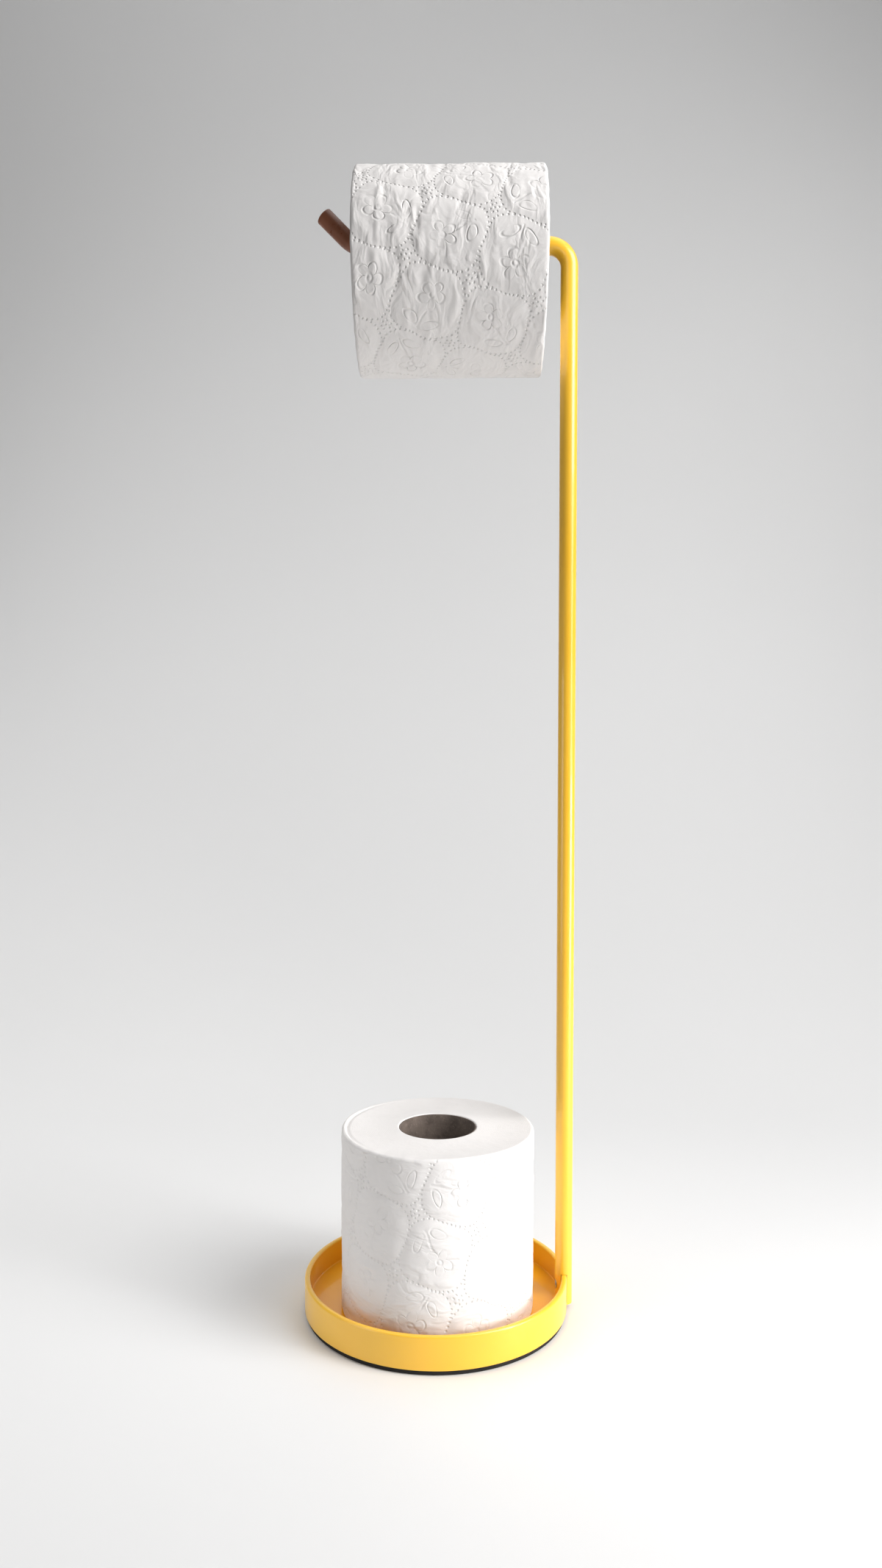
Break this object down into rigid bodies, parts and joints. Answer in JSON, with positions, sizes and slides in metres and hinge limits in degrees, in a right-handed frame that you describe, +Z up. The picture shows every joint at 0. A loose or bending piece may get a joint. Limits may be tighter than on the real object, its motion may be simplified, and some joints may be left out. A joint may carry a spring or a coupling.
{
  "type": "freestanding toilet paper holder",
  "caption": "Freestanding toilet paper holder: a low round tray keeps a spare roll, and a bent rod on its rim ends in an upturned arm on which a roll turns.",
  "frame": {"origin": "middle of the rubber pad's underside, on the ground, on the tray's axis", "axes": "+Z up along the upright, -X along the arm towards its upturned end, -Y towards the pictured side"},
  "size_m": [0.1453, 0.1422, 0.6035],
  "materials": {
    "yellow_lacquer": "gloss",
    "black_rubber": "matt",
    "screw_steel": "satin",
    "sleeve_brown": "satin",
    "core_cardboard": "matt",
    "white_paper": "matt, embossed"
  },
  "bodies": {
    "stand": {"tray_ring": "yellow_lacquer", "base_plate": "yellow_lacquer", "foot_pad": "black_rubber", "upright_rod": "yellow_lacquer", "fork_screw": "screw_steel", "arm_end_sleeve": "sleeve_brown"},
    "hung_roll": {"hung_roll_core": "core_cardboard", "hung_roll_paper": "white_paper"},
    "spare_roll": {"spare_roll_core": "core_cardboard", "spare_roll_paper": "white_paper"}
  },
  "joints": [
    {"name": "hung_roll_spin", "type": "hinge", "parent": "stand", "child": "hung_roll", "pos_m": [0.0074, 0, 0.5525], "axis": [1, 0, 0], "continuous": true},
    {"name": "spare_roll_lift", "type": "slide", "parent": "stand", "child": "spare_roll", "axis": [0, 0, 1], "range_m": [0, 0.12]}
  ]
}
